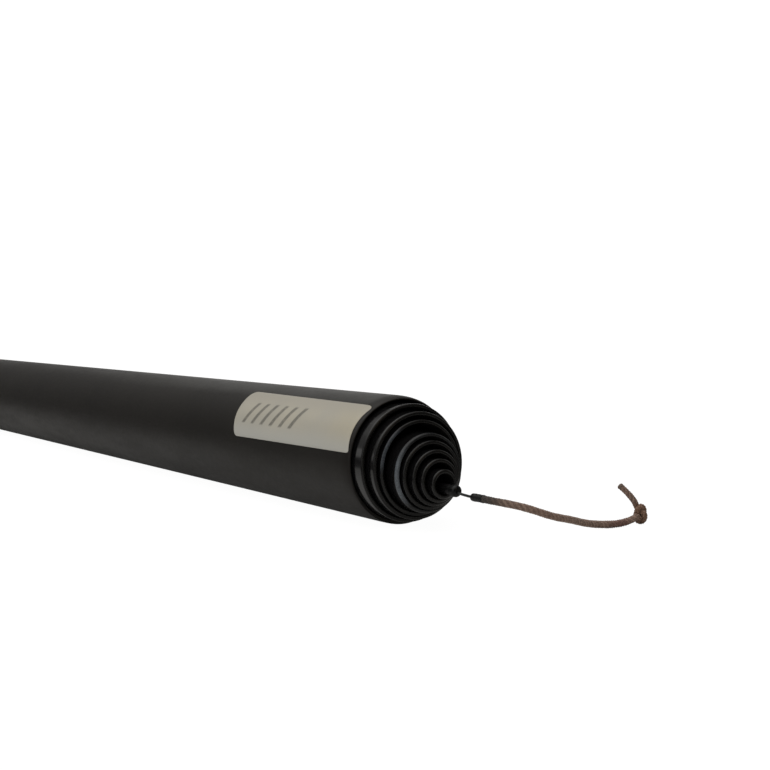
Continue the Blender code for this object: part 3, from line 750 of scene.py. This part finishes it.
cord_piece, cord_centres = braided("tip_cord_braid", 0.0, CORD_ENDS_AT, [CORD_YARN])
knot_piece, _ = braided("cord_knot_braid", CORD_ENDS_AT - BRAID_STEP, KNOT_ENDS_AT, [KNOT_YARN])
tail_piece, _ = braided("cord_tail_braid", KNOT_ENDS_AT - BRAID_STEP, whole_s[-1], [KNOT_YARN])
tail_cut = cut_end("cord_tail_cut_end", whole_s[-1])
for piece, node in ((cord_piece, "tip_cord"), (knot_piece, "cord_knot"), (tail_piece, "cord_tail")):
    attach(piece, "tip")
    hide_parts(node)
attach(tail_cut, "tip")


# ------------------------------------------------------------------ the sections



def rim_rub(x, radii, angles):
    """The rim's edge is crisper underneath than on its sides and top."""
    deep = max(0.0, butt_radius(x) - radii[0])
    if x < RIM_X - RIM_LONG or deep > RIM_ROUND + 0.02:
        return radii
    return radii + 0.98 * deep * np.clip(np.cos(angles - math.radians(286.0)), 0.0, 1.0) ** 0.6


butt = tube("butt_tube", sections[0], REAR_X, [SATIN, SATIN, BORE], RIM_ROUND, 0.08, 192, RIM_LONG, rim_rub)
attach(butt, "butt")
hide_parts("butt_section")

for number, section in enumerate(sections[1:], 2):
    sides = 160 if number < 6 else 112
    end = {4: SEALED_4_PAINTED_REFLECTION, 5: SEALED_5_PAINTED_REFLECTION}.get(number, SEALED)
    long = 0.8 if number == 5 else None
    made = tube(f"section_{number}_tube", section, BASE_X, [GLOSS, end, BORE], 0.36, 0.24, sides, long)
    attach(made, f"section_{number}")
    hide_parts(f"section_{number}")

tip_profile = [(BASE_X, 0.0), (BASE_X, TIP_BASE_R - 0.12), (BASE_X + 0.12, TIP_BASE_R)]
tip_profile += [(x, tip_radius(x)) for x in stations(BASE_X + 2.0, TIP_END_X - 1.0, 20.0)]
tip_profile += [(TIP_END_X - 0.12, tip_radius(TIP_END_X)), (TIP_END_X, tip_radius(TIP_END_X) - 0.1)]
tip_profile += [(TIP_END_X, 0.50), (TIP_END_X + 0.9, 0.50), (TIP_END_X + 0.9, 0.0)]
tip = lathe("tip_rod", tip_profile, 64, [TIP_GLOSS], tip_centre, False)
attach(tip, "tip")
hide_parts("tip_section")


# ------------------------------------------------------------------ bead, wire and collar

bead_centre = tip_centre((TIP_END_X + BEAD_END_X) / 2) - 0.08  # bored a little off its middle
bead_start = TIP_END_X + 0.05
hole_r = 0.30
bead_profile = [(bead_start + 0.9, 0.0), (bead_start + 0.9, 0.55), (bead_start, 0.55)]
bead_profile += arc(bead_start + 0.22, BEAD_R - 0.22, 0.22, 180, 90, 7)
bead_profile += [(bead_start + 0.55, BEAD_R + 0.012)]
bead_profile += arc(BEAD_END_X - 0.72, BEAD_R - 0.72, 0.72, 90, 12, 12)
bead_profile += [(BEAD_END_X - 0.03, 0.0)]
bead = lathe("tip_bead_turned", bead_profile, 64, [BEAD_BLACK], lambda x: bead_centre, False)
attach(bead, "tip")
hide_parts("tip_bead")


def wire_line(count):
    """From inside the bead's nose to inside the collar, with the slight bend that it has."""
    t = np.linspace(0, 1, count)[:, None]
    a, b = np.array(WIRE_START), np.array(WIRE_END)
    sag = np.sin(np.pi * t[:, 0]) * -0.07
    line = a + (b - a) * t
    line[:, 2] += sag
    line[:, 1] += 0.03 * np.sin(2 * np.pi * t[:, 0])
    return line


def round_tube(name, line, radius, count, materials, sharp=50.0):
    way, side, over = frames_along(line)
    points, faces = [], []
    for i, p in enumerate(line):
        for k in range(count):
            a = 2 * math.pi * k / count
            points.append(p + (side[i] * math.cos(a) + over[i] * math.sin(a)) * radius[i])
    n = len(line)
    for i in range(n - 1):
        for k in range(count):
            m = (k + 1) % count
            faces.append((i * count + k, i * count + m, (i + 1) * count + m, (i + 1) * count + k))
    faces.append(list(range(count)))
    faces.append(list(range((n - 1) * count, n * count)))
    return shaped(name, points, faces, materials, None, sharp)


wire = round_tube("tip_wire_bent", wire_line(40), np.full(40, WIRE_R), 20, [WIRE])
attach(wire, "tip")
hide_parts("tip_wire")

collar_z = CORD_START[2]
collar_profile = [(WIRE_END[0] + 0.12, 0.0), (WIRE_END[0] + 0.12, COLLAR_BORE), (COLLAR_START_X, COLLAR_BORE)]
collar_profile += arc(COLLAR_START_X + 0.06, COLLAR_NOSE_R, 0.06, 180, 110, 4)
collar_profile += [(COLLAR_START_X + 0.12, 0.54), (COLLAR_START_X + 0.26, 0.645), (COLLAR_START_X + 0.50, 0.695)]
collar_profile += [(x, 0.715 - 0.012 * (x - COLLAR_START_X)) for x in stations(COLLAR_START_X + 0.8, COLLAR_SKIN_END_X - 0.2, 0.1)]
collar_profile += arc(COLLAR_SKIN_END_X - 0.05, 0.675, 0.05, 90, -60, 6) + [(COLLAR_SKIN_END_X - 0.16, 0.60)]
collar_profile += [(COLLAR_END_X - 0.05, 0.58), (COLLAR_END_X - 0.05, 0.0)]


def wrinkled(x, radii, angles):
    """Shrink sleeve: drawn tight over what it holds, so a little lumpy."""
    if not COLLAR_START_X + 0.3 < x < COLLAR_SKIN_END_X - 0.2 or radii[0] < 0.61:
        return radii
    return radii + 0.012 * np.sin(3 * angles + x * 2.3) + 0.010 * math.sin(x * 7.9) + 0.006 * np.sin(7 * angles - x * 5.0)


collar = lathe("cord_collar_sleeve", collar_profile, 48, [SHRINK], lambda x: collar_z, False, reshape=wrinkled)
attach(collar, "tip")
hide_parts("cord_collar")


# ------------------------------------------------------------------ the label


def label_skin():
    """A film laid on the butt, with slightly bowed ends and small round corners."""
    ups, alongs = 72, 60
    spans = np.linspace(0, 1, ups + 1)
    outer, inner = [], []
    for span in spans:
        arc_length = math.radians(LABEL_HIGH - LABEL_LOW) * RIM_R
        from_edge = min(span, 1 - span) * arc_length
        left_corner, rim_corner = (1.7, 1.2) if span > 0.5 else (0.9, 0.6)
        left = LABEL_LEFT + LABEL_BOW * (1 - (1 - span) ** 3)
        if from_edge < left_corner:
            left -= left_corner - math.sqrt(max(0.0, left_corner**2 - (left_corner - from_edge) ** 2))
        shy = LABEL_RIGHT + 0.55 * math.sin(math.pi * span)
        if from_edge < rim_corner:
            shy += rim_corner - math.sqrt(max(0.0, rim_corner**2 - (rim_corner - from_edge) ** 2))
        for k in range(alongs + 1):
            share = k / alongs
            lowest = LABEL_LOW_RIM + (LABEL_LOW - LABEL_LOW_RIM) * share
            highest = LABEL_HIGH_RIM + (LABEL_HIGH - LABEL_HIGH_RIM) * share
            a = math.radians(lowest + (highest - lowest) * span)
            x = RIM_X - shy - k / alongs * (left - shy)
            near_edge = min(from_edge, k / alongs * 40, (1 - k / alongs) * 40)
            for rows, lift in ((inner, 0.004), (outer, 0.05 + 0.03 * min(1.0, near_edge / 0.25))):
                r = butt_skin(x) + lift
                rows.append((x, -r * math.cos(a), butt_centre(x) + r * math.sin(a)))
    points = outer + inner
    wide = alongs + 1
    half = len(outer)
    faces = []
    for i in range(ups):
        for j in range(alongs):
            a, b, c, d = i * wide + j, i * wide + j + 1, (i + 1) * wide + j + 1, (i + 1) * wide + j
            faces.append((a, b, c, d))
            faces.append((half + a, half + d, half + c, half + b))
    edge = list(range(wide)) + [i * wide + alongs for i in range(1, ups + 1)]
    edge += [ups * wide + j for j in range(alongs - 1, -1, -1)] + [i * wide for i in range(ups - 1, 0, -1)]
    for i, a in enumerate(edge):
        b = edge[(i + 1) % len(edge)]
        faces.append((a, b, half + b, half + a))
    return shaped("label_film_skin", points, faces, [FILM], None, 40.0)


label = label_skin()
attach(label, "butt")
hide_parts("label")


# ------------------------------------------------------------------ the screw cap and what is in it


def cap_reshape(x, radii, angles):
    r = radii[0]
    if abs(r - CAP_R) < 0.02 and CAP_FACE_X + 1.0 < x < CAP_SHOULDER_X - 0.8:
        fade = min(1.0, (x - CAP_FACE_X - 1.0) / 0.9, (CAP_SHOULDER_X - 0.8 - x) / 0.9)
        scoop = np.clip(np.cos(angles * FLUTES), -0.35, 1.0) + 0.35
        return radii - FLUTE_DEPTH * max(0.0, fade) * scoop / 1.35
    if abs(r - MALE_MEAN_R) < 1e-3 and THREAD_START_X - 1e-3 < x < THREAD_END_X + 1e-3:
        fade = max(0.0, min(1.0, (x - THREAD_START_X) / (THREAD_PITCH / 2), (THREAD_END_X - x) / (THREAD_PITCH / 2)))
        turn = np.arctan2(-np.cos(angles), np.sin(angles)) / (2 * np.pi)
        wave = np.sin(2 * np.pi * (x / THREAD_PITCH - turn))
        return radii + THREAD_HALF_DEPTH * fade * np.clip(wave * 1.35, -1, 1)
    return radii


cap_profile = [(FACE_PAD_RECESS_X, 0.0), (FACE_PAD_RECESS_X, FACE_PAD_RECESS_R), (CAP_FACE_X + 0.15, FACE_PAD_RECESS_R)]
cap_profile += arc(CAP_FACE_X + 0.15, FACE_PAD_RECESS_R + 0.15, 0.15, 270, 180, 4)
cap_profile += [(CAP_FACE_X, 10.6), (CAP_FACE_X, CAP_R - 1.25)]
cap_profile += arc(CAP_FACE_X + 1.2, CAP_R - 1.2, 1.2, 178, 90, 12)
cap_profile += [(x, CAP_R) for x in stations(CAP_FACE_X + 1.4, CAP_SHOULDER_X - 0.8, 0.25)]
cap_profile += arc(CAP_SHOULDER_X - 0.35, CAP_R - 0.35, 0.35, 88, 0, 6)
cap_profile += [(CAP_SHOULDER_X, CAP_NECK_R + 0.1)]
cap_profile += [(CAP_SHOULDER_X + 0.1, CAP_NECK_R), (THREAD_START_X - 0.35, CAP_NECK_R)]
cap_profile += [(x, MALE_MEAN_R) for x in stations(THREAD_START_X, THREAD_END_X, 0.125)]
cap_profile += [(CAP_END_X - 0.1, MALE_MEAN_R - THREAD_HALF_DEPTH - 0.2), (CAP_END_X, MALE_MEAN_R - THREAD_HALF_DEPTH - 0.35)]
cap_profile += [(CAP_END_X, CAP_CUP_R + 0.1), (CAP_END_X - 0.1, CAP_CUP_R), (CAP_CUP_FLOOR_X, CAP_CUP_R), (CAP_CUP_FLOOR_X, 0.0)]
cap = lathe("butt_screw_cap", cap_profile, 216, [CAP_BLACK], None, False, reshape=cap_reshape, sharp=40.0)
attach(cap, "butt_cap")
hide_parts("butt_cap")

pad_profile = [(0.12, 0.0), (0.12, 1.1)]
pad_profile += [(0.0, 1.35)]
for ring_r in (2.6, 4.2, 5.8, 7.4):
    pad_profile += [(0.0, ring_r - 0.22), (0.16, ring_r - 0.10), (0.16, ring_r + 0.10), (0.0, ring_r + 0.22)]
pad_profile += [(0.0, FACE_PAD_R - 0.42)]
pad_profile += arc(0.35, FACE_PAD_R - 0.35, 0.35, 178, 90, 8)
pad_profile += [(FACE_PAD_T, FACE_PAD_R), (FACE_PAD_T, 0.0)]
pad = lathe("cap_face_pad_ribbed", pad_profile, 120, [PAD_RUBBER], None, False, sharp=30.0)
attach(pad, "butt_cap")
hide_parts("cap_face_pad")

seal_profile = [(SEAL_X + SEAL_THICK_R * math.cos(a), SEAL_R + SEAL_THICK_R * math.sin(a)) for a in np.linspace(0, 2 * math.pi, 25)[:-1]]
seal = lathe("cap_seal_round", seal_profile, 120, [SEAL_RUBBER], None, True, sharp=None)
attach(seal, "cap_seal")
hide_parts("cap_seal_ring")


def recover(node, material):
    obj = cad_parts[node]
    if obj.material_slots:
        for slot in obj.material_slots:
            slot.link = "OBJECT"
            slot.material = material
    else:
        obj.data.materials.append(material)


recover("threaded_ring", RING)
recover("shock_plug", FOAM)
recover("tip_base_sleeve", SLEEVE)


# ------------------------------------------------------------------ floor and light

floor_mesh = bpy.data.meshes.new("floor")
reach = 16.0
floor_mesh.from_pydata([(-reach, -reach, 0), (reach, -reach, 0), (reach, reach, 0), (-reach, reach, 0)], [], [(0, 1, 2, 3)])
floor = bpy.data.objects.new("floor", floor_mesh)
floor.location = (0.0, 0.0, (FLOOR_Z - 0.01) * MM)
bpy.context.scene.collection.objects.link(floor)
# The photo's ground is white through and through, while the gloss in it mirrors a pale grey strip of
# table with a dark room past it. So the floor glows white for the eye, and for the light that bounces
# off it it is pale grey near the rod and dark further out.
TABLE_NEAR, TABLE_FAR = 0.046, 0.062
pale = Nodes("floor_pale")
pale_noise = pale.noise(3.0, 3.0, 0.5)
aside = pale.math("ABSOLUTE", pale.axes()[1])
past = pale.between(aside, TABLE_NEAR, TABLE_FAR)
sheet = pale.blend(pale_noise, (0.55, 0.55, 0.55), (0.59, 0.59, 0.58))
pale.set(colour=pale.blend(past, sheet, (0.07, 0.07, 0.07)), roughness=0.9, specular=0.1)
under = pale.between(aside, 0.014, 0.040, 0.13, 0.0)  # light under the rod, where its own shadow falls
pale.put(pale.shader.inputs["Emission Color"], (1.0, 0.99, 0.97))
pale.put(pale.shader.inputs["Emission Strength"], under)
glow = pale.node("ShaderNodeEmission", {"Color": (1.0, 1.0, 1.0), "Strength": 0.97})
soft = pale.node("ShaderNodeBsdfDiffuse", {"Color": (0.10, 0.10, 0.10)})
shown = pale.node("ShaderNodeAddShader")
pale.put(shown.inputs[0], glow.outputs[0])
pale.put(shown.inputs[1], soft.outputs[0])
ray = pale.node("ShaderNodeLightPath")
pick = pale.node("ShaderNodeMixShader")
pale.put(pick.inputs[0], ray.outputs["Is Camera Ray"])
pale.put(pick.inputs[1], pale.shader.outputs[0])
pale.put(pick.inputs[2], shown.outputs[0])
pale.put(pale.tree.nodes["Material Output"].inputs["Surface"], pick.outputs[0])
floor_mesh.materials.append(pale.material)

world = bpy.data.worlds.new("studio")
bpy.context.scene.world = world
world.use_nodes = True
tree = world.node_tree
tree.nodes.clear()
way_in = tree.nodes.new("ShaderNodeTexCoord").outputs["Generated"]


def world_math(operation, a, b):
    made = tree.nodes.new("ShaderNodeMath")
    made.operation = operation
    for socket, value in zip(made.inputs, (a, b)):
        if isinstance(value, bpy.types.NodeSocket):
            tree.links.new(value, socket)
        else:
            socket.default_value = value
    return made.outputs[0]


def patch(azimuth, height, inner, outer, strength):
    """Light from one part of the room: full within the inner angle and none past the outer one."""
    a, e = math.radians(azimuth), math.radians(height)
    near = tree.nodes.new("ShaderNodeVectorMath")
    near.operation = "DOT_PRODUCT"
    near.inputs[1].default_value = (math.cos(e) * math.cos(a), math.cos(e) * math.sin(a), math.sin(e))
    tree.links.new(way_in, near.inputs[0])
    made = tree.nodes.new("ShaderNodeMapRange")
    made.interpolation_type = "SMOOTHSTEP"
    made.clamp = True
    tree.links.new(near.outputs["Value"], made.inputs["Value"])
    made.inputs["From Min"].default_value = math.cos(math.radians(outer))
    made.inputs["From Max"].default_value = math.cos(math.radians(inner))
    made.inputs["To Min"].default_value = 0.0
    made.inputs["To Max"].default_value = strength
    return made.outputs["Result"]


ROOM = 0.05
PATCHES = (
    # azimuth, height, inner angle, outer angle, strength
    (-110.0, 74.0, 14.0, 57.0, 1.60),  # overhead, a little to the left
    (-156.0, 19.0, 6.0, 15.0, 0.22),  # broad, behind the butt on the left
    (-168.0, 32.0, 3.0, 13.0, 0.16),
    (-148.0, 7.5, 2.0, 6.5, 0.60),  # small, caught low in the gloss
    (176.0, 34.0, 3.0, 12.0, 0.15),
    (150.0, 10.0, 5.0, 26.0, 0.85),  # backdrop
    (-80.0, 8.0, 8.0, 32.0, 1.0),  # low, from the left of the camera
    (95.0, 24.0, 6.0, 24.0, 0.6),  # from behind on the right
)
total = ROOM
for one in PATCHES:
    total = world_math("ADD", patch(*one), total)
lit = tree.nodes.new("ShaderNodeBackground")
lit.inputs["Color"].default_value = (1.0, 0.985, 0.96, 1.0)
tree.links.new(total, lit.inputs["Strength"])
warm = tree.nodes.new("ShaderNodeBackground")  # a weak warm light, caught by the rounded ends' upper left
warm.inputs["Color"].default_value = (1.0, 0.74, 0.46, 1.0)
tree.links.new(patch(4.0, 30.0, 3.0, 13.0, 1.3), warm.inputs["Strength"])
both = tree.nodes.new("ShaderNodeAddShader")
tree.links.new(lit.outputs[0], both.inputs[0])
tree.links.new(warm.outputs[0], both.inputs[1])
seen = tree.nodes.new("ShaderNodeBackground")
seen.inputs["Color"].default_value = (1.0, 1.0, 1.0, 1.0)
seen.inputs["Strength"].default_value = 1.1
rays = tree.nodes.new("ShaderNodeLightPath")
choose = tree.nodes.new("ShaderNodeMixShader")
tree.links.new(rays.outputs["Is Camera Ray"], choose.inputs[0])
tree.links.new(both.outputs[0], choose.inputs[1])
tree.links.new(seen.outputs[0], choose.inputs[2])
output = tree.nodes.new("ShaderNodeOutputWorld")
tree.links.new(choose.outputs[0], output.inputs["Surface"])

bpy.context.scene.view_settings.view_transform = "Standard"
